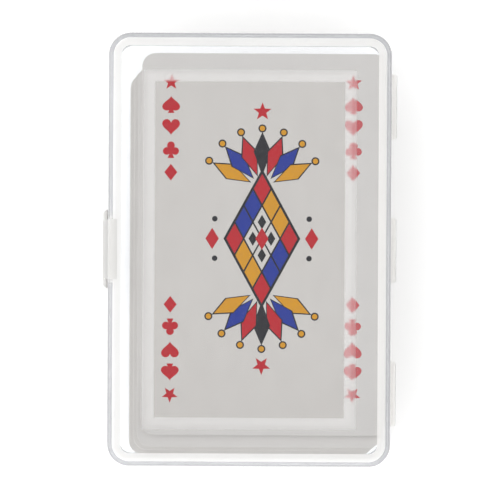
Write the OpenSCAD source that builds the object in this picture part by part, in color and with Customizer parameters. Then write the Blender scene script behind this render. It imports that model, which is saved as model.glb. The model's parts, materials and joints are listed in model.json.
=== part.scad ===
// Pack of playing cards lying in a clear hinged plastic case, lid shut.
// X runs to the hinge side, Y along the cards, Z up. Millimetres.

/* [Cards] */
// Width of a card
card_w = 57.15; // [54:0.05:64]
// Length of a card
card_l = 88.9; // [84:0.1:96]
// Thickness of a card
card_t = 0.28; // [0.24:0.01:0.32]
// Air between two cards that lie on each other
card_air = 0.02; // [0.01:0.01:0.05]
// Radius of a card's corners
card_r = 3.2; // [2:0.1:4.5]

/* [Pack as it lies] */
// Cards in the bottom packet
bottom_cards = 36; // [30:1:38]
// Cards in the thin packet on it
step_cards = 5; // [2:1:8]
// Slide of the thin packet towards the hinge
step_x = 1.0; // [0.4:0.1:1.6]
// Slide of the thin packet along the cards
step_y = 1.05; // [0.4:0.05:1.6]
// Slide of the upper packet towards the hinge
upper_x = 2.04; // [1:0.02:2.3]
// Slide of the upper packet along the cards
upper_y = 2.1; // [1:0.1:3]
// Slide of the top card towards the hinge
top_x = 2.78; // [2.4:0.02:3.2]
// Slide of the top card along the cards
top_y = 4.86; // [3:0.02:6]
// How unevenly cards of one packet lie
uneven = 0.08; // [0.01:0.01:0.12]
// Room between the top card and the hinge wall
hinge_gap = 0.15; // [0.1:0.05:0.6]
// Room between the bottom packet and the corner tongues
end_gap = 0.6; // [0.4:0.1:1.5]

/* [Tray and lid] */
// Spare width inside the case
side_play = 7.05; // [6:0.05:12]
// Spare length inside the case
end_play = 10.3; // [9.5:0.1:16]
// Room between the top card and the lid panel
head_room = 0.8; // [0.4:0.1:3]
// Thickness of the side walls
wall = 0.9; // [0.7:0.05:1.2]
// Thickness of the tray floor
floor_t = 1.2; // [0.9:0.1:1.8]
// Height of the tray up to the parting line
tray_h = 10.5; // [9:0.5:12]
// Outer radius of the case's upright corners
corner_r = 5.2; // [4:0.1:7]
// Outer radius round the case's top and bottom edges
edge_r = 2.2; // [1.6:0.1:2.8]

/* [Lid panel] */
// Thickness of the lid's panel
panel_t = 1.0; // [0.8:0.1:1.6]
// Thickness of the lid's border round the panel
border_t = 1.2; // [1:0.1:1.5]
// Depth that the panel is sunk below the border
panel_sink = 0.8; // [0.3:0.1:1]
// Width of the flat panel
panel_w = 44.6; // [36:0.2:48]
// Length of the flat panel
panel_l = 78.6; // [70:0.2:82]
// Width of the sloping bevel round the panel
bevel_w = 2.3; // [1:0.1:3]

/* [Corner tongues] */
// Thickness of a tongue
tongue_t = 0.7; // [0.5:0.05:0.9]
// Room between a tongue and the lid's wall
tongue_gap = 0.2; // [0.15:0.05:0.3]
// Rise of a tongue above the parting line
tongue_up = 2; // [1:0.5:2]
// Depth of a tongue's foot below the parting line
tongue_down = 3; // [2:0.5:5]
// Reach of a tongue from the case's corner across the case
tongue_across = 14.2; // [9:0.2:18]
// Reach of a tongue from the case's corner along the case
tongue_along = 11; // [9:0.2:18]

/* [Hinge straps] */
// Length of a strap
strap_l = 15.4; // [8:0.2:20]
// Distance between the middles of two straps
strap_pitch = 33.7; // [26:0.1:36]
// How far a strap stands out from the case
strap_reach = 1.5; // [1.2:0.1:2.2]
// Radius of the fold at a strap's edge
fold_r = 0.5; // [0.35:0.05:0.6]
// Slope cut off a strap's outer corners
strap_slope = 0.8; // [0.3:0.1:1]

/* [Latch] */
// Length of the latch tab
latch_l = 19.4; // [14:0.2:26]
// Thickness of the latch tab
latch_t = 0.7; // [0.5:0.05:0.8]
// Room between the tab and the case's wall
latch_gap = 0.6; // [0.55:0.05:0.65]
// How far the tab's thumb lip stands out from the case
latch_reach = 1.5; // [1.5:0.1:2.5]
// Height of the thumb lip
lip_h = 0.8; // [0.5:0.1:1.5]
// Slope cut off the tab's ends
latch_slope = 1.4; // [0.5:0.1:1.5]
// Height of the tab's lower edge above the table
latch_z = 4; // [3:0.2:5]
// Height of the tab's flex line above the parting line
flex_up = 2.5; // [1.5:0.1:3]
// Radius of the tab's round root
root_r = 0.5; // [0.35:0.05:0.55]
// Length of the boss over the tab
boss_l = 14; // [8:0.2:14]
// Height of the boss over the tab
boss_h = 3; // [2:0.1:3]
// How far the catch ridge stands out from the tray
catch_out = 0.3; // [0.2:0.05:0.35]
// Height of the catch ridge's middle above the tab's lower edge
catch_up = 3; // [2.6:0.1:3.5]
// Running gap at the latch
latch_run = 0.1; // [0.08:0.01:0.15]

/* [Hidden] */
$fn = 64;
clear_plastic = [0.88, 0.90, 0.92, 0.35];
paper_white = [0.93, 0.93, 0.92];
// How far pieces of one solid reach into each other, and cuts past a face
joint_overlap = 0.3;
// Degrees by which the uneven lie turns from one card to the next
lie_turn_x = 137;
lie_turn_y = 101;

suits = ["spades", "hearts", "diamonds", "clubs"];
ranks = ["ace", "two", "three", "four", "five", "six", "seven", "eight", "nine", "ten",
         "jack", "queen", "king"];
suit_cards = [for (s = suits) for (r = ranks) str(r, "_of_", s)];
card_names = concat(suit_cards, ["plain_joker", "coloured_joker"]);
card_count = len(card_names);
strap_names = ["hinge_strap_lower", "hinge_strap_middle", "hinge_strap_upper"];

card_pitch = card_t + card_air;
pack_h = card_count * card_pitch;
room_w = card_w + side_play;
room_l = card_l + end_play;
case_w = room_w + 2 * wall;
case_l = room_l + 2 * wall;
case_h = floor_t + pack_h + head_room + panel_t + panel_sink;
lid_h = case_h - tray_h;

// Middle of the bottom packet: the top card lies at the hinge wall, the packet at the lower tongues
bottom_x = room_w / 2 - hinge_gap - card_w / 2 - top_x;
bottom_y = -room_l / 2 + tongue_gap + tongue_t + end_gap + uneven + card_l / 2;

// Middle of the straps' folds, which is the hinge axis, and of the latch tab's root
leaf_w = strap_reach - fold_r;
hinge_x = case_w / 2 + leaf_w;
flex_z = tray_h + flex_up;
flex_out = latch_run + root_r;
catch_z = latch_z + catch_up;
bead_z = catch_z - 2 * catch_out - latch_run;

// Slide of card i, counted from 0 at the bottom, from the middle of the bottom packet
function packet_slide(i) =
    i < bottom_cards ? [0, 0]
    : i < bottom_cards + step_cards ? [step_x, step_y]
    : i < card_count - 1 ? [upper_x, upper_y]
    : [top_x, top_y];

// Small uneven lie of card i within its packet; the top card lies where its slide says
function lie(i) = i == card_count - 1 ? [0, 0] : uneven * [sin(lie_turn_x * i), cos(lie_turn_y * i)];

// Plate with round corners, its lower face at z = 0
module plate(w, l, r, t) {
    linear_extrude(t) {
        square([w - 2 * r, l], center = true);
        square([w, l - 2 * r], center = true);
        for (x = [-1, 1], y = [-1, 1])
            translate([x * (w / 2 - r), y * (l / 2 - r)])
                circle(r);
    }
}

// Section through one side of a shell: floor at the bottom, upright wall at x = corner_r
module side_section(h, t) {
    difference() {
        union() {
            square([corner_r - edge_r, h]);
            translate([0, edge_r])
                square([corner_r, h - edge_r]);
            translate([corner_r - edge_r, edge_r])
                circle(edge_r);
        }
        inner_r = edge_r - wall;
        translate([-corner_r, t + inner_r])
            square([2 * corner_r - wall, h]);
        translate([-corner_r, t])
            square([2 * corner_r - wall - inner_r, h]);
        translate([corner_r - wall - inner_r, t + inner_r])
            circle(inner_r);
    }
}

// Open shell with round corners and edges, its flat face at z = 0 and its rim at z = h
module shell(h, t) {
    mid_w = case_w - 2 * corner_r;
    mid_l = case_l - 2 * corner_r;
    for (k = [0:3]) {
        turned = k % 2 == 1;
        span = turned ? mid_w : mid_l;
        away = turned ? mid_l / 2 : mid_w / 2;
        rotate(90 * k) {
            translate([away, span / 2])
                rotate_extrude(angle = 90)
                    side_section(h, t);
            translate([away, span / 2])
                rotate([90, 0, 0])
                    linear_extrude(span)
                        side_section(h, t);
        }
    }
    translate([-mid_w / 2, -mid_l / 2])
        cube([mid_w, mid_l, t]);
}

// Block whose four sides slope out from w by l at its lower face, by slope at its upper one
module sloped_block(w, l, slope, h) {
    intersection() {
        rotate([90, 0, 0])
            linear_extrude(l + 2 * slope, center = true)
                polygon([[-w / 2, 0], [w / 2, 0], [w / 2 + slope, h], [-w / 2 - slope, h]]);
        rotate([90, 0, 90])
            linear_extrude(w + 2 * slope, center = true)
                polygon([[-l / 2, 0], [l / 2, 0], [l / 2 + slope, h], [-l / 2 - slope, h]]);
    }
}

// Ring that follows the inside of the walls, between two distances from them
module wall_ring(near, far, h) {
    difference() {
        plate(room_w - 2 * near, room_l - 2 * near, corner_r - wall - near, h);
        translate([0, 0, -joint_overlap])
            plate(room_w - 2 * far, room_l - 2 * far, corner_r - wall - far, h + 2 * joint_overlap);
    }
}

// Tongues in the tray's corners, which guide the lid
module corner_tongues() {
    intersection() {
        union() {
            translate([0, 0, tray_h - tongue_down])
                wall_ring(-wall / 2, tongue_gap + tongue_t, tongue_down);
            translate([0, 0, tray_h - tongue_down])
                wall_ring(tongue_gap, tongue_gap + tongue_t, tongue_down + tongue_up);
        }
        for (x = [0, 1], y = [0, 1])
            mirror([x, 0, 0])
                mirror([0, y, 0])
                    translate([case_w / 2 - tongue_across, case_l / 2 - tongue_along])
                        cube([tongue_across, tongue_along, case_h]);
    }
}

// Bar of the given side section, which lies along the case's latch wall
module latch_bar(l) {
    translate([-case_w / 2, 0, 0])
        mirror([1, 0, 0])
            rotate([90, 0, 0])
                linear_extrude(l, center = true)
                    children();
}

module tray() {
    color(clear_plastic) {
        shell(tray_h, floor_t);
        corner_tongues();
        latch_bar(boss_l)
            polygon([
                [-wall / 2, catch_z - catch_out],
                [0, catch_z - catch_out],
                [catch_out, catch_z],
                [0, catch_z + catch_out],
                [-wall / 2, catch_z + catch_out],
            ]);
    }
}

module lid() {
    boss_z = flex_z + root_r + latch_run;
    panel_depth = panel_sink + panel_t - border_t;
    color(clear_plastic) {
        difference() {
            union() {
                translate([0, 0, case_h])
                    mirror([0, 0, 1])
                        shell(lid_h, border_t);
                translate([0, 0, case_h - panel_sink - panel_t])
                    sloped_block(panel_w, panel_l, bevel_w, panel_depth + joint_overlap);
            }
            translate([0, 0, case_h - panel_sink])
                sloped_block(panel_w, panel_l, bevel_w, panel_sink);
        }
        latch_bar(boss_l)
            polygon([
                [-wall / 2, boss_z],
                [latch_gap + latch_t, boss_z],
                [latch_gap + latch_t, boss_z + boss_h / 2],
                [0, boss_z + boss_h],
                [-wall / 2, boss_z + boss_h],
            ]);
    }
}

module latch_tab() {
    back = latch_gap;
    front = latch_gap + latch_t;
    color(clear_plastic)
        intersection() {
            latch_bar(latch_l) {
                translate([flex_out, flex_z])
                    circle(root_r);
                polygon([
                    [back, latch_z],
                    [latch_reach, latch_z],
                    [latch_reach, latch_z + lip_h],
                    [front, latch_z + 2 * lip_h],
                    [front, flex_z],
                    [back, flex_z],
                    [back, bead_z + catch_out],
                    [catch_out + latch_run, bead_z],
                    [back, bead_z - catch_out],
                ]);
            }
            translate([-case_w / 2, 0, 0])
                mirror([1, 0, 0])
                    linear_extrude(case_h)
                        polygon([
                            [0, -latch_l / 2],
                            [latch_reach, latch_slope - latch_l / 2],
                            [latch_reach, latch_l / 2 - latch_slope],
                            [0, latch_l / 2],
                        ]);
        }
}

// Strap k of the living hinge, counted from the lower end: two leaves round one fold
module hinge_strap(k) {
    half_l = strap_l / 2;
    color(clear_plastic)
        translate([hinge_x, (k - 1) * strap_pitch, tray_h])
            intersection() {
                rotate([90, 0, 0])
                    linear_extrude(strap_l, center = true) {
                        translate([-leaf_w, -fold_r])
                            square([leaf_w, 2 * fold_r]);
                        circle(fold_r);
                    }
                linear_extrude(4 * fold_r, center = true)
                    polygon([
                        [-leaf_w, -half_l],
                        [fold_r - strap_slope, -half_l],
                        [fold_r, strap_slope - half_l],
                        [fold_r, half_l - strap_slope],
                        [fold_r - strap_slope, half_l],
                        [-leaf_w, half_l],
                    ]);
            }
}

// Card i of the pack, counted from 0 at the bottom
module card(i) {
    place = [bottom_x, bottom_y] + packet_slide(i) + lie(i);
    color(paper_white)
        translate([place[0], place[1], floor_t + i * card_pitch])
            plate(card_w, card_l, card_r, card_t);
}

tray();
lid();
latch_tab();
for (k = [0:2])
    hinge_strap(k);
for (i = [0:card_count - 1])
    card(i);
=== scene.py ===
import json
import math

import bmesh
import bpy
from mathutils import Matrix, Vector
from mathutils.geometry import delaunay_2d_cdt


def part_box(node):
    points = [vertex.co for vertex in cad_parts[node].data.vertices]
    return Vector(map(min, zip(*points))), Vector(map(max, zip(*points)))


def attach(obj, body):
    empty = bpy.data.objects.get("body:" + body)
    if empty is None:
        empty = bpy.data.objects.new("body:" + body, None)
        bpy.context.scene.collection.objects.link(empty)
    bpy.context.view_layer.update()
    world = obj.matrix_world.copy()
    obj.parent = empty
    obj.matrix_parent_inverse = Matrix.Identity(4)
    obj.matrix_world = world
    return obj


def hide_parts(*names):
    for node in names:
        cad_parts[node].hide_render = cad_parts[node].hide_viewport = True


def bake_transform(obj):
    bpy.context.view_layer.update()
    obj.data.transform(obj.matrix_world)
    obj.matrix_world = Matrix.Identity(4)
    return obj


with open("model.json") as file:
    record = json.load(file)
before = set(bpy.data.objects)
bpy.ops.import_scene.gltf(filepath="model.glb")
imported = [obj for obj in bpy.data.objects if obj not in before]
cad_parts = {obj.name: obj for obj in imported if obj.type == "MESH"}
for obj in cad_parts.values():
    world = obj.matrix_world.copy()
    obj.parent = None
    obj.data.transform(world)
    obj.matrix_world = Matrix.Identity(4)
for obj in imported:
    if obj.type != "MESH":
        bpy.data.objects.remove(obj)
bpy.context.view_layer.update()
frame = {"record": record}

mm = 0.001
scene = bpy.context.scene
bodyNodes = frame["record"]["behaviour"]["bodies"]
bodyOf = {node: body for body, members in bodyNodes.items() for node in members}


# Shader helpers

def newMaterial(name):
    mat = bpy.data.materials.new(name)
    mat.use_nodes = True
    tree = mat.node_tree
    bsdf = next(n for n in tree.nodes if n.type == "BSDF_PRINCIPLED")
    return mat, tree, bsdf


def addNode(tree, kind, **values):
    node = tree.nodes.new(kind)
    for key, value in values.items():
        if key in node.inputs:
            node.inputs[key].default_value = value
        else:
            setattr(node, key, value)
    return node


def wire(tree, source, out, target, into):
    tree.links.new(source.outputs[out], target.inputs[into])


def ramp(tree, source, out, stops):
    node = tree.nodes.new("ShaderNodeValToRGB")
    band = node.color_ramp
    while len(band.elements) < len(stops):
        band.elements.new(0.5)
    for element, (place, colour) in zip(band.elements, stops):
        element.position = place
        element.color = colour if len(colour) == 4 else (*colour, 1)
    wire(tree, source, out, node, "Fac")
    return node


def calc(tree, operation, first, second=None):
    node = addNode(tree, "ShaderNodeMath", operation=operation)
    for i, value in enumerate((first, second)):
        if isinstance(value, tuple):  # a node and the name of its output
            wire(tree, value[0], value[1], node, i)
        elif value is not None:
            node.inputs[i].default_value = value
    return node, 0


def grey(v):
    return (v, v, v, 1)


# Mesh helpers, all sizes in mm

meshing = {
    "crease": math.radians(32),  # sharper folds than this stay sharp
    "flatWeight": 90,
    "weldShell": 1e-6, "weldPrint": 1e-5,  # points closer than this are one
}
corners = [(1, 1), (-1, 1), (-1, -1), (1, -1)]


def smoothMesh(mesh):
    for face in mesh.polygons:
        face.use_smooth = True
    mesh.set_sharp_from_angle(angle=meshing["crease"])


def meshPiece(name, mesh, materials):
    for mat in materials:
        mesh.materials.append(mat)
    smoothMesh(mesh)
    piece = bpy.data.objects.new(name, mesh)
    scene.collection.objects.link(piece)
    return piece


def newPiece(name, bm, materials):
    bmesh.ops.recalc_face_normals(bm, faces=bm.faces)
    mesh = bpy.data.meshes.new(name)
    bm.to_mesh(mesh)
    bm.free()
    return meshPiece(name, mesh, materials)


def keepFlats(piece):
    steady = piece.modifiers.new("keepFlats", "WEIGHTED_NORMAL")  # flat beside a fillet too
    steady.keep_sharp = True
    steady.weight = meshing["flatWeight"]


def addRing(bm, points):
    return [bm.verts.new((x * mm, y * mm, z * mm)) for x, y, z in points]


def skin(bm, rings, slot=0, closed=True):
    for k, (lower, upper) in enumerate(zip(rings, rings[1:])):
        n = len(lower)
        for i in range(n if closed else n - 1):
            j = (i + 1) % n
            face = bm.faces.new((lower[i], lower[j], upper[j], upper[i]))
            face.material_index = slot if isinstance(slot, int) else slot[k]


def fillBetween(bm, outer, inner):
    loop = outer + inner
    n, m = len(outer), len(inner)
    flat = [Vector((v.co.x / mm, v.co.y / mm)) for v in loop]
    edges = [(i, (i + 1) % n) for i in range(n)]
    edges += [(n + i, n + (i + 1) % m) for i in range(m)]
    _, _, faces, ids, _, _ = delaunay_2d_cdt(flat, edges, [], 0, meshing["weldShell"], True)
    for face in faces:
        points = [ids[i][0] for i in face]
        if min(points) < n:  # not inside the inner loop
            bm.faces.new([loop[i] for i in points])


def arcPoints(centre, radius, start, stop, steps):
    turns = [math.radians(start + (stop - start) * s / steps) for s in range(steps + 1)]
    return [(centre[0] + radius * math.cos(a), centre[1] + radius * math.sin(a)) for a in turns]


def bakeModifiers(piece):
    seen = bpy.context.evaluated_depsgraph_get()
    mesh = bpy.data.meshes.new_from_object(piece.evaluated_get(seen))
    piece.modifiers.clear()
    old = piece.data
    piece.data = mesh
    bpy.data.meshes.remove(old)


def unite(piece, others):
    for other in others:
        join = piece.modifiers.new("join", "BOOLEAN")
        join.operation = "UNION"
        join.solver = "EXACT"
        join.object = other
        bakeModifiers(piece)
    for other in others:
        bpy.data.objects.remove(other)
    smoothMesh(piece.data)


# Clear moulded plastic

plasticLook = {
    "index": 1.49,
    "cloud": 90.0, "cloudDetail": 4.0, "cloudRough": 0.6,  # noise that varies the roughness
    "cloudBand": (0.3, 0.75),
    "pores": 700.0, "poreDetail": 2.0, "grain": 0.012, "grainDepth": 0.0001,  # fine bump
    "grained": ("wall", "window"),  # the other kinds are frosted
    "kinds": {  # tint, share that isn't milky, light that one face lets in, roughness
        "wall": ((0.965, 0.972, 0.982), 0.945, 0.96, (0.04, 0.09)),
        "window": ((0.985, 0.988, 0.992), 0.995, 0.96, (0.02, 0.05)),
        "bevel": ((0.985, 0.988, 0.992), 0.86, 0.95, (0.39, 0.42)),
        "rim": ((0.955, 0.95, 0.935), 0.38, 0.94, (0.42, 0.55)),
        # edge: a dark grey-blue tint, painted shade for the dark band along the rounded outer
        # edges and wall tops
        "edge": ((0.54, 0.545, 0.565), 0.35, 0.95, (0.12, 0.2)),
        "haze": ((0.80, 0.793, 0.775), 0.5, 0.9, (0.3, 0.38)),
        # fade and fadeOut: greys partway between the frosting and the edge's painted shade
        "fade": ((0.70, 0.695, 0.69), 0.45, 0.92, (0.24, 0.32)),
        "fadeOut": ((0.61, 0.612, 0.62), 0.4, 0.93, (0.18, 0.26)),
        "band": ((0.965, 0.958, 0.945), 0.88, 0.97, (0.4, 0.44)),
    },
}


def makePlastic(kind):
    p = plasticLook
    tint, clear, letsIn, rough = p["kinds"][kind]
    mat, tree, bsdf = newMaterial(kind + "Plastic")
    bsdf.inputs["Base Color"].default_value = (*tint, 1)
    bsdf.inputs["IOR"].default_value = p["index"]
    bsdf.inputs["Transmission Weight"].default_value = clear
    grained = kind in p["grained"]
    place = addNode(tree, "ShaderNodeTexCoord")
    cloud = addNode(tree, "ShaderNodeTexNoise", Scale=p["cloud"], Roughness=p["cloudRough"])
    cloud.inputs["Detail"].default_value = p["cloudDetail"] if grained else 0.0
    wire(tree, place, "Object", cloud, "Vector")
    stops = [(at, grey(v)) for at, v in zip(p["cloudBand"], rough)]
    wire(tree, ramp(tree, cloud, "Fac", stops), "Color", bsdf, "Roughness")
    if grained:
        pores = addNode(tree, "ShaderNodeTexNoise", Scale=p["pores"], Detail=p["poreDetail"])
        wire(tree, place, "Object", pores, "Vector")
        bump = addNode(tree, "ShaderNodeBump", Strength=p["grain"], Distance=p["grainDepth"])
        wire(tree, pores, "Fac", bump, "Height")
        wire(tree, bump, "Normal", bsdf, "Normal")
    path = addNode(tree, "ShaderNodeLightPath")
    lit = calc(tree, "MAXIMUM", (path, "Is Shadow Ray"), (path, "Is Diffuse Ray"))
    thin = addNode(tree, "ShaderNodeBsdfTransparent", Color=grey(letsIn))
    mix = addNode(tree, "ShaderNodeMixShader")  # light on the cards comes straight through
    out = next(n for n in tree.nodes if n.type == "OUTPUT_MATERIAL")
    wire(tree, lit[0], 0, mix, 0)
    wire(tree, bsdf, 0, mix, 1)
    wire(tree, thin, 0, mix, 2)
    wire(tree, mix, 0, out, "Surface")
    return mat


plastic = {kind: makePlastic(kind) for kind in plasticLook["kinds"]}
print("plastics made:", list(plastic))


# Tray and lid share one outline

shellSize = {
    "w": 66.0, "l": 101.0, "h": 20.0, "split": 10.5,
    "cornerR": 5.2, "edgeR": 2.2, "wall": 0.9, "floorT": 1.2, "borderT": 1.2,
    "rim": 0.15,  # soft edge of the rims
    "latch": 14.0,  # frosted length of the edge
    "latchFade": 0.8, "fadeSteps": 2,  # how the frosting ends, stepping down into the edge's painted shade
    "cornerSteps": 14, "edgeSteps": 10, "rimSteps": 3,
}


def wallRing(inset, z):
    s = shellSize
    r = s["cornerR"] - inset
    hx, hy = s["w"] / 2 - inset - r, s["l"] / 2 - inset - r
    ring = []
    for k, (sx, sy) in enumerate(corners):
        arc = arcPoints((sx * hx, sy * hy), r, 90 * k, 90 * k + 90, s["cornerSteps"])
        ring += [(x, y, z) for x, y in arc]
        if k == 1:  # more points where the latch is
            ends = [s["latch"] / 2 + step * s["latchFade"] for step in range(s["fadeSteps"] + 1)]
            ring += [(inset - s["w"] / 2, y, z) for y in ends[::-1] + [-y for y in ends]]
    return ring


def wallProfile(height, floorT):
    s = shellSize
    edge, rim, wall = s["edgeR"], s["rim"], s["wall"]
    inner = edge - wall
    path = arcPoints((edge, edge), edge, 270, 180, s["edgeSteps"])
    path += arcPoints((rim, height - rim), rim, 180, 90, s["rimSteps"])
    path += arcPoints((wall - rim, height - rim), rim, 90, 0, s["rimSteps"])
    path += arcPoints((edge, floorT + inner), inner, 180, 270, s["edgeSteps"])
    return path  # inset and height, from the outer flat over the rim to the inner flat


# the edge slot, with its painted shade, covers the outer rounding and the wall's top
def wallSlots(flat, edge, wall, hazy=0):
    steps, rim = shellSize["edgeSteps"], 2 * shellSize["rimSteps"] + 1
    return [flat] * hazy + [edge] * (steps - hazy) + [wall] + [edge] * rim + [wall] * (steps + 1)


def boxRing(hx, hy, z):
    return [(sx * hx, sy * hy, z) for sx, sy in corners]


# Hazy bars along the latch wall: sections are how far out and how high, and the ends taper

def latchWallBar(name, section, length, taper, slots=("haze",)):
    bm = bmesh.new()
    wallX, haze = -shellSize["w"] / 2, slots.index("haze")
    rows = [(wallX - out, length / 2 - taper * max(out, 0), z) for out, z in section]
    ends = [addRing(bm, [(x, side * half, z) for x, half, z in rows]) for side in (-1, 1)]
    skin(bm, ends, slot=haze)
    for end in ends:
        bm.faces.new(end).material_index = haze
    return newPiece(name, bm, [plastic[kind] for kind in slots])


# Tray with its corner tongues and catch ridge

traySize = {
    "tongueRoot": 0.45, "tongueNear": 1.1, "tongueFar": 1.8,  # in from the outside of the wall
    "tongueFoot": 7.5, "tongueTop": 12.5,
    "tongueAcross": 14.2, "tongueAlong": 11.0,
    "tongueEnd": 2.4, "endSteps": 6, "endRise": 0.1,  # length over which an end is rounded off
    "shoulder": 0.02,  # below the parting line
    "soft": 0.15,
    "ridgeLength": 14.0, "ridgeTaper": 1.0,
    "ridgeSection": [
        (-0.45, 6.7), (0, 6.7), (0.255, 6.94), (0.3, 7.0), (0.255, 7.06), (0, 7.3), (-0.45, 7.3),
    ],
}
traySlots = ("wall", "edge", "haze")
traySlot = {kind: i for i, kind in enumerate(traySlots)}


def tongueStations():
    s, t = shellSize, traySize
    r, n = s["cornerR"], t["endSteps"]
    hx, hy = s["w"] / 2, s["l"] / 2
    rise = [(t["tongueEnd"] * k / n, k / n) for k in range(n + 1)]
    stations = [((hx - t["tongueAcross"] + along, hy), (0, -1), share) for along, share in rise]
    for k in range(s["cornerSteps"] + 1):
        a = math.radians(90 - 90 * k / s["cornerSteps"])
        inwards = (-math.cos(a), -math.sin(a))
        stations.append(((hx - r - r * inwards[0], hy - r - r * inwards[1]), inwards, 1))
    for along, share in reversed(rise):
        stations.append(((hx, hy - t["tongueAlong"] + along), (-1, 0), share))
    return stations  # a point on the wall, the way inwards and how far the end has risen


def makeTongue(mirrorX, mirrorY):
    t, split, soft = traySize, shellSize["split"], traySize["soft"]
    root, near, far, foot = t["tongueRoot"], t["tongueNear"], t["tongueFar"], t["tongueFoot"]
    low, ledge = split + t["endRise"], split - t["shoulder"]
    bm = bmesh.new()
    rings = []
    for (x, y), (inX, inY), share in tongueStations():
        top = low + (t["tongueTop"] - low) * math.sqrt(1 - (1 - share) ** 2)
        section = [
            (root, foot), (far - soft, foot), (far, foot + soft),
            (far, top - soft), (far - soft, top), (near + soft, top), (near, top - soft),
            (near, ledge), (root, ledge),
        ]
        placed = [(mirrorX * (x + d * inX), mirrorY * (y + d * inY), z) for d, z in section]
        rings.append(addRing(bm, placed))
    skin(bm, rings, slot=traySlot["haze"])
    for end in (rings[0], rings[-1]):
        bm.faces.new(end).material_index = traySlot["haze"]
    return newPiece("tongue", bm, [plastic[kind] for kind in traySlots])


def makeTray():
    s, t = shellSize, traySize
    bm = bmesh.new()
    rings = [addRing(bm, wallRing(d, z)) for d, z in wallProfile(s["split"], s["floorT"])]
    skin(bm, rings, slot=wallSlots(traySlot["wall"], traySlot["edge"], traySlot["wall"]))
    bm.faces.new(rings[0])
    bm.faces.new(rings[-1])
    tray = newPiece("clearTray", bm, [plastic[kind] for kind in traySlots])
    length, taper = t["ridgeLength"], t["ridgeTaper"]
    extras = [latchWallBar("catchRidge", t["ridgeSection"], length, taper, traySlots)]
    extras += [makeTongue(x, y) for x in (-1, 1) for y in (-1, 1)]
    unite(tray, extras)
    keepFlats(tray)
    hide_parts("tray")
    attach(tray, "tray")
    return tray


tray = makeTray()
print("tray:", len(tray.data.polygons), "faces")


# Lid with its sunk window and the boss over the latch

lidSize = {
    "windowW": 44.6, "windowL": 78.6, "windowT": 1.0, "sink": 0.8, "bevel": 2.3,
    "innerBevel": 1.53,  # of the window's underside
    "ease": 0.22, "easeDip": 0.3,  # soft edges of the bevel
    "rimWidth": 3.1, "hazySteps": 3,  # hazy strip, which goes some steps over the rounded edge
    "bossTaper": 0.25,
    "bossSection": [
        (-0.45, 13.6), (1.15, 13.6), (1.3, 13.75), (1.3, 15.0),
        (1.2, 15.22), (0.05, 16.55), (-0.45, 16.6),
    ],
}
lidSlots = ("wall", "bevel", "window", "rim", "edge", "haze", "fade", "fadeOut")
lidSlot = {kind: i for i, kind in enumerate(lidSlots)}


def frostLatchEdge(bm):
    s = shellSize
    for face in bm.faces:
        at = face.calc_center_median() / mm
        past = max(0, math.ceil((abs(at.y) - s["latch"] / 2) / s["latchFade"]))
        rounded = at.x < s["edgeR"] - s["w"] / 2 and at.z > s["h"] - s["edgeR"]
        fading = past <= s["fadeSteps"] and face.material_index == lidSlot["edge"]
        if rounded and (past == 0 or fading):
            face.material_index = lidSlot["haze"] + past  # haze, then fade and fadeOut, which step into the edge's painted shade


def makeLid():
    s, p = shellSize, lidSize
    top, hx, hy = s["h"], p["windowW"] / 2, p["windowL"] / 2
    bm = bmesh.new()
    profile = wallProfile(top - s["split"], s["borderT"])
    rings = [addRing(bm, wallRing(d, top - z)) for d, z in profile]
    rim = addRing(bm, wallRing(p["rimWidth"], top))
    slots = wallSlots(lidSlot["rim"], lidSlot["edge"], lidSlot["wall"], p["hazySteps"])
    skin(bm, [rim] + rings, slot=[lidSlot["rim"]] + slots)
    frostLatchEdge(bm)
    slope, ease = p["sink"] / p["bevel"], p["ease"]
    steps = [(-ease, 0), (0, slope * ease * p["easeDip"]), (ease, slope * ease)]
    steps += [(p["bevel"] - e, p["sink"] - dz) for e, dz in reversed(steps)]
    down = [addRing(bm, boxRing(hx + e, hy + e, top - p["sink"] + dz)) for e, dz in steps]
    skin(bm, down, slot=lidSlot["bevel"])
    bm.faces.new(down[0]).material_index = lidSlot["window"]
    fillBetween(bm, rim, down[-1])
    under = [(0, top - p["sink"] - p["windowT"]), (p["innerBevel"], top - s["borderT"])]
    lower = [addRing(bm, boxRing(hx + e, hy + e, z)) for e, z in under]
    skin(bm, lower, slot=lidSlot["bevel"])
    bm.faces.new(lower[0]).material_index = lidSlot["window"]
    fillBetween(bm, rings[-1], lower[-1])
    lid = newPiece("clearLid", bm, [plastic[kind] for kind in lidSlots])
    unite(lid, [latchWallBar("boss", p["bossSection"], s["latch"], p["bossTaper"], lidSlots)])
    keepFlats(lid)
    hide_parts("lid")
    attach(lid, "lid")
    return lid


lid = makeLid()
print("lid:", len(lid.data.polygons), "faces")


# Latch tab, thin at its root under the boss

tabSize = {
    "length": 19.4, "taper": 1.4 / 1.5,
    "section": [
        (0.68, 4.0), (1.4, 4.0), (1.5, 4.1), (1.5, 4.75), (1.44, 5.0), (1.33, 5.45), (1.3, 5.7),
        (1.3, 9.0), (1.3, 12.4), (1.24, 12.75), (1.05, 13.1), (0.95, 13.35), (0.98, 13.7),
        (0.42, 13.7), (0.4, 13.35), (0.36, 13.1), (0.42, 12.75), (0.6, 12.4),
        (0.6, 9.0), (0.6, 6.62), (0.43, 6.34), (0.43, 6.26), (0.6, 5.98), (0.6, 4.08),
    ],
    "soft": 0.12, "softSteps": 2, "softAngle": 50,  # rounding of its edges
    "bendOut": 0.6, "bendFrom": 12.6, "bendTo": 13.5,
}


def makeTab():
    t = tabSize
    tab = latchWallBar("latchTab", t["section"], t["length"], t["taper"])
    soft = tab.modifiers.new("soft", "BEVEL")
    soft.width = t["soft"] * mm
    soft.segments = t["softSteps"]
    soft.limit_method = "ANGLE"
    soft.angle_limit = math.radians(t["softAngle"])
    bakeModifiers(tab)
    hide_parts("latch_tab")
    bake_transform(tab)


makeTab()
print("latch tab bends from", tabSize["bendFrom"], "to", tabSize["bendTo"], "mm")


# Hinge straps, thin bands folded back on themselves

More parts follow.
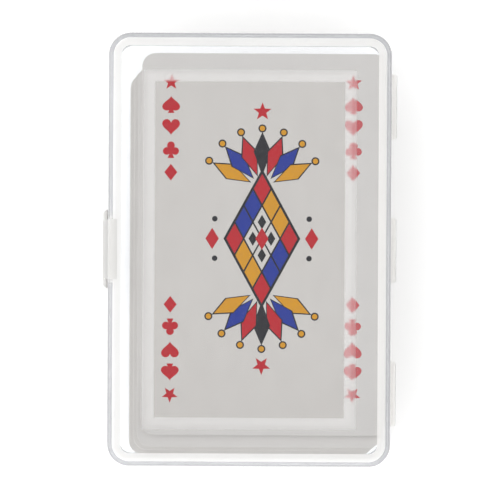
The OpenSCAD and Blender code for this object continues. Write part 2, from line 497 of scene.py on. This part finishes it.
strapSize = {
    "length": 15.4, "pitch": 33.7, "foldX": 34.0, "foldR": 0.5, "thick": 0.25,
    "from": 32.95, "flatTo": 33.5,
    "round": 0.8,  # corners of the fold, seen from above
    "steps": 16,
}


def strapPath(r):
    s, z = strapSize, shellSize["split"]
    rows = [(s["from"], z - r), (s["flatTo"], z - r)]
    rows += arcPoints((s["foldX"], z), r, -90, 90, s["steps"])
    return rows + [(s["flatTo"], z + r), (s["from"], z + r)]


def strapHalf(x):
    s = strapSize
    over = max(0.0, min(1.0, (x - s["foldX"] - s["foldR"] + s["round"]) / s["round"]))
    return s["length"] / 2 - s["round"] * (1 - math.sqrt(1 - over * over))


def makeStrap(k, node):
    s, z = strapSize, shellSize["split"]
    outer, inner = s["foldR"], s["foldR"] - s["thick"]
    middle = (k - 1) * s["pitch"]
    bm = bmesh.new()
    lines = []
    for r, side in ((outer, -1), (outer, 1), (inner, 1), (inner, -1)):
        lines.append(addRing(bm, [(x, middle + side * strapHalf(x), h) for x, h in strapPath(r)]))
    for line, other in zip(lines, lines[1:] + lines[:1]):
        skin(bm, [line, other], closed=False)
    for end in (0, -1):
        bm.faces.new([line[end] for line in lines])
    strap = newPiece("hingeBand." + "ABC"[k], bm, [plastic["band"]])
    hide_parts(node)
    start, end = ((s["foldX"] * mm, middle * mm, (z + side * inner) * mm) for side in (-1, 1))
    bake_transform(strap)


for k, node in enumerate(["hinge_strap_lower", "hinge_strap_middle", "hinge_strap_upper"]):
    makeStrap(k, node)
print("three hinge bands")


# Card stock, inks and the back

cardLook = {
    "stock": ((0.66, 0.637, 0.612), (0.63, 0.607, 0.584)),
    "stockFibre": (260, 120, 260),
    # cut edges: a paler paper tone, partly painted light that brightens the pack's stepped sides
    "edge": ((0.83, 0.81, 0.78), (0.71, 0.69, 0.665)),
    "edgeFibre": (900, 900, 2600),
    "fibreDetail": 6.0, "fibreRough": 0.65, "fibreBand": (0.32, 0.68),
    "gloss": (0.36, 0.48), "glossBand": (0.3, 0.7),
    "grain": 0.05, "grainDepth": 0.00002,
    "inks": {
        "red": (0.53, 0.011, 0.022),
        "blue": (0.011, 0.035, 0.32),
        "yellow": (0.71, 0.33, 0.014),
        "charcoal": (0.014, 0.014, 0.02),
    },
    "inkFibre": (900, 900, 900),
    "inkThin": 0.86, "inkLift": 0.02,  # where the print is thinner
}

backLook = {
    "lozengeW": 0.0046, "lozengeL": 0.0066, "line": 0.09, "rib": 0.47,
    "halfW": 0.0248, "halfL": 0.0407,  # the margin outside is bare
    "ink": (0.34, 0.02, 0.03), "rough": 0.42,
}


def makeStock(name, light, dark, scale):
    c = cardLook
    mat, tree, bsdf = newMaterial(name)
    place = addNode(tree, "ShaderNodeTexCoord")
    fit = addNode(tree, "ShaderNodeMapping")
    fit.inputs["Scale"].default_value = scale
    wire(tree, place, "Object", fit, "Vector")
    fibre = addNode(tree, "ShaderNodeTexNoise", Scale=1.0, Detail=c["fibreDetail"])
    fibre.inputs["Roughness"].default_value = c["fibreRough"]
    wire(tree, fit, "Vector", fibre, "Vector")
    tone = ramp(tree, fibre, "Fac", list(zip(c["fibreBand"], (dark, light))))
    wire(tree, tone, "Color", bsdf, "Base Color")
    sheen = ramp(tree, fibre, "Fac", [(at, grey(v)) for at, v in zip(c["glossBand"], c["gloss"])])
    wire(tree, sheen, "Color", bsdf, "Roughness")
    bump = addNode(tree, "ShaderNodeBump", Strength=c["grain"], Distance=c["grainDepth"])
    wire(tree, fibre, "Fac", bump, "Height")
    wire(tree, bump, "Normal", bsdf, "Normal")
    return mat


def makeInk(name, colour):
    thin = tuple(v * cardLook["inkThin"] + cardLook["inkLift"] for v in colour)
    return makeStock(name + "Ink", colour, thin, cardLook["inkFibre"])


def makeBack():
    b = backLook
    mat, tree, bsdf = newMaterial("latticeBack")
    place = addNode(tree, "ShaderNodeTexCoord")
    split = addNode(tree, "ShaderNodeSeparateXYZ")
    wire(tree, place, "Object", split, "Vector")
    across = calc(tree, "MULTIPLY", (split, "X"), 1 / b["lozengeW"])
    along = calc(tree, "MULTIPLY", (split, "Y"), 1 / b["lozengeL"])
    bare = []
    for kind in ("ADD", "SUBTRACT"):
        saw = calc(tree, "PINGPONG", calc(tree, kind, across, along), 0.5)
        bare.append(calc(tree, "LESS_THAN", saw, b["line"]))
        bare.append(calc(tree, "GREATER_THAN", saw, b["rib"]))
    for axis, reach in (("X", b["halfW"]), ("Y", b["halfL"])):
        bare.append(calc(tree, "GREATER_THAN", calc(tree, "ABSOLUTE", (split, axis)), reach))
    net = bare[0]
    for other in bare[1:]:
        net = calc(tree, "MAXIMUM", net, other)
    tone = ramp(tree, net[0], 0, [(0.45, b["ink"]), (0.55, cardLook["stock"][0])])
    wire(tree, tone, "Color", bsdf, "Base Color")
    bsdf.inputs["Roughness"].default_value = b["rough"]
    return mat


stock = makeStock("cardStock", *cardLook["stock"], cardLook["stockFibre"])
# cut edges paler than the face: partly painted light on the pack's steps
cutEdge = makeStock("cardEdge", *cardLook["edge"], cardLook["edgeFibre"])
inks = {name: makeInk(name, colour) for name, colour in cardLook["inks"].items()}
cardSlots = [stock, cutEdge, makeBack()] + list(inks.values())
cardSlot = {name: i for i, name in enumerate(["white", "edge", "back", *inks])}
print("card stock and", len(inks), "inks made")


# Shapes to print, each a closed outline about one unit high

def roundOutline(n=20, r=0.5):
    turns = [2 * math.pi * i / n for i in range(n)]
    return [(r * math.cos(a), r * math.sin(a)) for a in turns]


def heartOutline(n=36):
    outline = []
    for i in range(n):
        a = 2 * math.pi * i / n
        y = 13 * math.cos(a) - 5 * math.cos(2 * a) - 2 * math.cos(3 * a) - math.cos(4 * a)
        outline.append((16 * math.sin(a) ** 3 / 30, (y + 2.5) / 30))
    return outline


def starOutline(points=5, inner=0.42):
    turns = [(0.5 if i % 2 == 0 else 0.5 * inner, math.pi * i / points) for i in range(2 * points)]
    return [(r * math.sin(a), r * math.cos(a)) for r, a in turns]


def stemOutline():
    left = [(-0.05, 0.0), (-0.08, -0.22), (-0.2, -0.5)]
    return left + [(-x, y) for x, y in reversed(left)]


def lozengeOutline(wide=0.78):
    return [(0, 0.5), (-wide / 2, 0), (0, -0.5), (wide / 2, 0)]


def leafOutlines(size=0.46):
    middles = [(0, 0.26), (-0.25, -0.08), (0.25, -0.08)]
    return [[(x * size + cx, y * size + cy) for x, y in roundOutline()] for cx, cy in middles]


pips = {
    "heart": [heartOutline()],
    "diamond": [lozengeOutline()],
    "spade": [[(x, 0.08 - y * 0.92) for x, y in heartOutline()], stemOutline()],
    "club": leafOutlines() + [stemOutline(), roundOutline(8, 0.14)],
    "star": [starOutline()],
    "dot": [roundOutline()],
}


def stamp(outlines, x, y, size, ink, stretch=1):
    wide = size * stretch
    return [([(x + px * wide, y + py * size) for px, py in outline], ink) for outline in outlines]


def twoWay(art):
    return art + [([(-x, -y) for x, y in outline], ink) for outline, ink in art]


# Top card: columns of red pips at the corners and a two-way ornament of lozenges

jokerPrint = {
    "shift": (-0.5, 1.3),  # the print is a little off the card's middle
    "columnX": 21.3, "columnTop": 36.4, "columnPitch": 5.25, "pipSize": 3.9,
    "column": ["star", "spade", "heart", "club", "diamond"],
    "latticeW": 17.0, "latticeL": 31.0, "latticeN": 4, "latticeLine": (0.45, 0.8),
    "cell": 0.9,  # of its place in the lattice
    "cellInks": {(0, 0): "red", (1, 0): "blue", (0, 1): "yellow", (1, 1): "white"},
    "cellMark": 3.4, "midMark": 5.2, "markStretch": 0.75,
    "fan": ["yellow", "blue", "red", "charcoal", "red", "blue", "yellow"],
    "fanY": 11.8, "fanStep": 21, "fanFrom": 3.4, "fanTo": 12.4, "fanWidth": 3.5, "fanWaist": 0.55,
    "fanLine": 0.28, "fanPoints": (2, 2.5),  # dark outline, longer at the points
    "fanDot": 1.5, "fanDots": ((1.9, "charcoal"), (1.25, "yellow")),
    "starY": 29.6, "starSize": 4.4,
    "sideX": 11.6, "sideMark": 5.0, "sideStretch": 0.8,
    "dotX": 11.0, "dotY": 4.6, "dotSize": 1.3,
}


def fanArt(i, ink):
    j = jokerPrint
    turn = math.radians((i - (len(j["fan"]) - 1) / 2) * -j["fanStep"])
    c, s = math.cos(turn), math.sin(turn)
    art = []
    for grow, tone in ((j["fanLine"], "charcoal"), (0, ink)):
        w = j["fanWidth"] / 2 + grow
        low, top = j["fanFrom"] - grow * j["fanPoints"][0], j["fanTo"] + grow * j["fanPoints"][1]
        waist = low + j["fanWaist"] * (top - low)
        kite = [(0, low), (w, waist), (0, top), (-w, waist)]
        art.append(([(c * x - s * y, j["fanY"] + s * x + c * y) for x, y in kite], tone))
    reach = j["fanTo"] + j["fanDot"]
    for size, tone in j["fanDots"]:
        art += stamp(pips["dot"], -s * reach, j["fanY"] + c * reach, size, tone)
    return art


def latticeArt():
    j = jokerPrint
    w, l, n = j["latticeW"] / 2, j["latticeL"] / 2, j["latticeN"]
    lineW, lineL = j["latticeLine"]
    art = [([(0, l + lineL), (-w - lineW, 0), (0, -l - lineL), (w + lineW, 0)], "charcoal")]
    cell = [(0, l / n), (-w / n, 0), (0, -l / n), (w / n, 0)]
    for a in range(n):
        for b in range(n):
            tone = j["cellInks"][min(a, n - 1 - a), min(b, n - 1 - b)]
            x, y = (a - b) * w / n, (a + b - n + 1) * l / n
            art += stamp([cell], x, y, j["cell"], tone)
            if tone == "white":
                art += stamp(pips["diamond"], x, y, j["cellMark"], "charcoal", j["markStretch"])
    return art + stamp(pips["diamond"], 0, 0, j["midMark"], "red", j["markStretch"])


def jokerArt():
    j = jokerPrint
    half = []
    for side in (-1, 1):
        for i, pip in enumerate(j["column"]):
            y = j["columnTop"] - i * j["columnPitch"]
            half += stamp(pips[pip], side * j["columnX"], y, j["pipSize"], "red")
    for i, ink in enumerate(j["fan"]):
        half += fanArt(i, ink)
    half += stamp(pips["star"], 0, j["starY"], j["starSize"], "red")
    art = twoWay(half) + latticeArt()
    for side in (-1, 1):
        art += stamp(pips["diamond"], side * j["sideX"], 0, j["sideMark"], "red", j["sideStretch"])
        for y in (-j["dotY"], j["dotY"]):
            art += stamp(pips["dot"], side * j["dotX"], y, j["dotSize"], "charcoal")
    dx, dy = j["shift"]
    return [([(x + dx, y + dy) for x, y in outline], ink) for outline, ink in art]


# Suit cards: rows of marks for the numbers, a framed two-way stack of lozenges for the courts

faceSize = {
    "mark": 8.6, "aceMark": 17.0, "column": 11.6, "row": 28.0,
    "corner": (23.6, 38.4), "cornerMark": 4.4,
    "frameW": 35.0, "frameL": 63.0, "line": 0.45,
    "innerCorner": (6.0, 6.5), "innerMark": 6.2,  # in from the frame
    "gem": 10.5, "gemFrom": 7.0, "gemPitch": 9.0, "gemFill": 0.86, "gemStretch": 1.3,
    "gems": ["red", "blue", "yellow"],
}
courts = {"jack": 1, "queen": 2, "king": 3}  # lozenges in each half


def pair(y):
    return [(-1, y), (1, y)]


numberRows = {  # marks that come again upside down, and marks that stand once
    "ace": ([], [(0, 0)]),
    "two": ([(0, 1)], []),
    "three": ([(0, 1)], [(0, 0)]),
    "four": (pair(1), []),
    "five": (pair(1), [(0, 0)]),
    "six": (pair(1), pair(0)),
    "seven": (pair(1), pair(0) + [(0, 0.5)]),
    "eight": (pair(1) + [(0, 0.5)], pair(0)),
    "nine": (pair(1) + pair(1 / 3), [(0, 0)]),
    "ten": (pair(1) + pair(1 / 3) + [(0, 2 / 3)], []),
}


def bar(w, l):
    return [(sx * w, sy * l) for sx, sy in corners]


def courtArt(gems, suit, ink):
    f = faceSize
    w, l, line = f["frameW"] / 2, f["frameL"] / 2, f["line"]
    border = [(bar(w + line, l + line), "charcoal"), (bar(w, l), "white"), (bar(w, line / 2), ink)]
    inX, inY = f["innerCorner"]
    inside = stamp(pips[suit], inX - w, l - inY, f["innerMark"], ink)
    for i, fill in enumerate(f["gems"][:gems]):
        y = f["gemFrom"] + i * f["gemPitch"]
        for size, tone in ((f["gem"], "charcoal"), (f["gem"] * f["gemFill"], fill)):
            inside += stamp(pips["diamond"], 0, y, size, tone, f["gemStretch"])
    return border + twoWay(inside)


def suitArt(rank, suit):
    f = faceSize
    ink = "red" if suit in ("heart", "diamond") else "charcoal"
    x, y = f["corner"]
    half = stamp(pips[suit], -x, y, f["cornerMark"], ink)
    if rank in courts:
        return twoWay(half) + courtArt(courts[rank], suit, ink)
    size = f["aceMark"] if rank == "ace" else f["mark"]
    turned, once = numberRows[rank]
    for sx, sy in turned:
        half += stamp(pips[suit], sx * f["column"], sy * f["row"], size, ink)
    art = twoWay(half)
    for sx, sy in once:
        art += stamp(pips[suit], sx * f["column"], sy * f["row"], size, ink)
    return art


def faceArt(node):
    if node == "coloured_joker":
        return jokerArt()
    if node == "plain_joker":
        plain = {"yellow": "white", "white": "white"}
        return [(outline, plain.get(ink, "charcoal")) for outline, ink in jokerArt()]
    rank, suit = node.split("_of_")
    return suitArt(rank, suit.rstrip("s"))


# Cards

cardSize = {"w": 57.15, "l": 88.9, "t": 0.28, "r": 3.2, "soft": 0.045, "cornerSteps": 10}
topCurl = {"node": "coloured_joker", "from": -25.0, "lift": 0.7, "steps": 8}  # at its near end


def curlRows(node):
    if node != topCurl["node"]:
        return []
    start, n = topCurl["from"], topCurl["steps"]
    end = cardSize["r"] - cardSize["l"] / 2
    return [start + (end - start) * i / n for i in range(n)]


def curlHeight(y, rows):
    if not rows:
        return 0
    past = max(0.0, topCurl["from"] - y) / (topCurl["from"] + cardSize["l"] / 2)
    return topCurl["lift"] * past ** 2


def cardRing(inset, z, rows):
    s = cardSize
    r = s["r"] - inset
    hx, hy = s["w"] / 2 - s["r"], s["l"] / 2 - s["r"]
    ring = []
    for k, (sx, sy) in enumerate(corners):
        ring += arcPoints((sx * hx, sy * hy), r, 90 * k, 90 * k + 90, s["cornerSteps"])
        if k in (1, 3):  # down the left side, up the right one
            ring += [(sx * (hx + r), y) for y in rows[::-sx]]
    return [(x, y, z + curlHeight(y, rows)) for x, y in ring]


def anticlockwise(outline):
    turned = outline[1:] + outline[:1]
    spin = sum(a[0] * b[1] - b[0] * a[1] for a, b in zip(outline, turned))
    return outline if spin > 0 else outline[::-1]


def cardMesh(name, art):
    s = cardSize
    soft, t, weld = s["soft"], s["t"], meshing["weldPrint"]
    rows = curlRows(name)
    rim = cardRing(soft, t, rows)
    n = len(rim)
    points = [Vector(p[:2]) for p in rim]
    left = 2 * (s["cornerSteps"] + 1)  # where the left side's points begin
    across = [(left + i, n - 1 - i) for i in range(len(rows))]
    loops = [list(range(n))]
    _, _, under, underIds, _, _ = delaunay_2d_cdt(points, across, loops, 0, weld, True)
    for outline, _ in art:
        loops.append(list(range(len(points), len(points) + len(outline))))
        points += [Vector(p) for p in anticlockwise(outline)]
    flat, _, faces, ids, _, owners = delaunay_2d_cdt(points, across, loops, 0, weld, True)
    verts = [(p.x, p.y, t + curlHeight(p.y, rows)) for p in flat]
    place = {orig: i for i, origs in enumerate(ids) for orig in origs}
    polys, slots = [], []
    for face, owner in zip(faces, owners):
        over = max(owner) if owner else 0  # the last ink printed there
        polys.append(list(face))
        slots.append(cardSlot[art[over - 1][1] if over else "white"])
    rings = [[place[i] for i in range(n)]]
    for inset, z in ((0, t - soft), (0, soft), (soft, 0)):
        rings.append(list(range(len(verts), len(verts) + n)))
        verts += cardRing(inset, z, rows)
    for upper, lower in zip(rings, rings[1:]):
        for i in range(n):
            j = (i + 1) % n
            polys.append([upper[i], lower[i], lower[j], upper[j]])
            slots.append(cardSlot["edge"])
    for face in under:
        polys.append([rings[-1][underIds[i][0]] for i in reversed(face)])
        slots.append(cardSlot["back"])
    mesh = bpy.data.meshes.new(name)
    mesh.from_pydata([(x * mm, y * mm, z * mm) for x, y, z in verts], [], polys)
    mesh.polygons.foreach_set("material_index", slots)
    mesh.update()
    return mesh


def makeCard(node, art):
    low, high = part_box(node)
    card = meshPiece(node + ".card", cardMesh(node, art), cardSlots)
    card.location = ((low.x + high.x) / 2, (low.y + high.y) / 2, low.z)
    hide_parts(node)
    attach(card, bodyOf[node])
    return card


cardNodes = [node for node in bodyOf if "_of_" in node or node.endswith("joker")]
cards = [makeCard(node, faceArt(node)) for node in cardNodes]
print("cards:", len(cards), "with", sum(len(card.data.polygons) for card in cards), "faces")


# Floor, light and camera

studio = {
    "floorSide": 4.0, "floorDrop": 0.05,
    "floorColour": (0.87, 0.88), "floorRough": 0.9, "floorShine": 0.1,
    "dust": 12.0, "dustDetail": 3.0, "dustBand": (0.3, 0.7),
    "glow": 0.3,  # what lifts the lit floor to white
    "through": 0.66,  # the same, seen through the plastic
    "sky": [  # by height
        (0.0, 0.45), (0.3, 0.8), (0.5, 1.0), (0.62, 0.95), (0.84, 0.95), (0.89, 0.31), (1.0, 0.06),
    ],
    "lowLean": (-0.15, -0.42),  # more light from the left and the near end
    "highLean": (-0.5, -0.1),  # the same, for the upper part of the sky
    "leanTurn": (0.5, 0.7),  # heights between which one lean takes over from the other
    "sideLight": -0.2,  # less light from both long sides
    "skyLevel": 1.58,
    "skyShown": 0.92,
    "bounces": 24,  # light passes many faces of clear plastic
}


def makeFloor():
    s = studio
    side = s["floorSide"] / 2
    mesh = bpy.data.meshes.new("floor")
    mesh.from_pydata([(sx * side, sy * side, 0) for sx, sy in corners], [], [(0, 1, 2, 3)])
    floorPlane = bpy.data.objects.new("floor", mesh)
    floorPlane.location.z = -s["floorDrop"] * mm
    scene.collection.objects.link(floorPlane)
    mat, tree, bsdf = newMaterial("paleFloor")
    bsdf.inputs["Roughness"].default_value = s["floorRough"]
    bsdf.inputs["Specular IOR Level"].default_value = s["floorShine"]
    dust = addNode(tree, "ShaderNodeTexNoise", Scale=s["dust"], Detail=s["dustDetail"])
    stops = [(at, grey(v)) for at, v in zip(s["dustBand"], s["floorColour"])]
    wire(tree, ramp(tree, dust, "Fac", stops), "Color", bsdf, "Base Color")
    seen = addNode(tree, "ShaderNodeLightPath")
    direct = calc(tree, "MULTIPLY", (seen, "Is Camera Ray"), s["glow"])
    bent = calc(tree, "MAXIMUM", (seen, "Is Transmission Ray"), (seen, "Is Glossy Ray"))
    lift = calc(tree, "MAXIMUM", direct, calc(tree, "MULTIPLY", bent, s["through"]))
    bsdf.inputs["Emission Color"].default_value = grey(1)
    wire(tree, lift[0], 0, bsdf, "Emission Strength")
    mesh.materials.append(mat)


def skyLean(tree, split):
    total = 1.0
    for name, ends in (("lowLean", (1, 0)), ("highLean", (0, 1))):
        x, y = (calc(tree, "MULTIPLY", (split, axis), v) for axis, v in zip("XY", studio[name]))
        share = ramp(tree, split, "Z", [(z, grey(v)) for z, v in zip(studio["leanTurn"], ends)])
        part = calc(tree, "MULTIPLY", calc(tree, "ADD", x, y), (share, "Color"))
        total = calc(tree, "ADD", part, total)
    square = calc(tree, "MULTIPLY", (split, "X"), (split, "X"))
    return calc(tree, "ADD", calc(tree, "MULTIPLY", square, studio["sideLight"]), total)


def makeSky():
    world = bpy.data.worlds.new("softbox")
    scene.world = world
    world.use_nodes = True
    tree = world.node_tree
    shine = next(n for n in tree.nodes if n.type == "BACKGROUND")
    place = addNode(tree, "ShaderNodeTexCoord")
    split = addNode(tree, "ShaderNodeSeparateXYZ")
    wire(tree, place, "Generated", split, "Vector")
    band = ramp(tree, split, "Z", [(z, grey(v)) for z, v in studio["sky"]])
    lit = addNode(tree, "ShaderNodeVectorMath", operation="SCALE")
    wire(tree, band, "Color", lit, 0)
    wire(tree, skyLean(tree, split)[0], 0, lit, "Scale")
    seen = addNode(tree, "ShaderNodeLightPath")
    mix = addNode(tree, "ShaderNodeMix", data_type="RGBA")
    wire(tree, seen, "Is Camera Ray", mix, "Factor")
    wire(tree, lit, 0, mix, 6)
    mix.inputs[7].default_value = grey(studio["skyShown"] / studio["skyLevel"])
    shine.inputs["Strength"].default_value = studio["skyLevel"]
    wire(tree, mix, 2, shine, "Color")


view = {
    "side": 500, "middle": (249.5, 249.75),  # px, of the photo and of the box in it
    "pxPerMm": 4.289,  # at the top card
    "cardLevel": 17.4,
    "height": 0.9,  # m above the card
    "turn": 0.3,  # degrees that the box lies turned clockwise
    "sensor": 36, "clip": (0.05, 20),
}


def makeCamera():
    px = mm / view["pxPerMm"]
    data = bpy.data.cameras.new("photoCamera")
    data.sensor_width = view["sensor"]
    data.lens = view["sensor"] * view["height"] / (view["side"] * px)
    data.clip_start, data.clip_end = view["clip"]
    cam = bpy.data.objects.new("photoCamera", data)
    x, y = (place - view["side"] / 2 for place in view["middle"])
    cam.location = (-x * px, y * px, view["cardLevel"] * mm + view["height"])
    cam.rotation_euler = (0, 0, math.radians(view["turn"]))
    scene.collection.objects.link(cam)
    scene.camera = cam


makeFloor()
makeSky()
makeCamera()
scene.view_settings.view_transform = "Standard"
scene.cycles.max_bounces = studio["bounces"]
scene.cycles.transmission_bounces = studio["bounces"]
print("studio set")
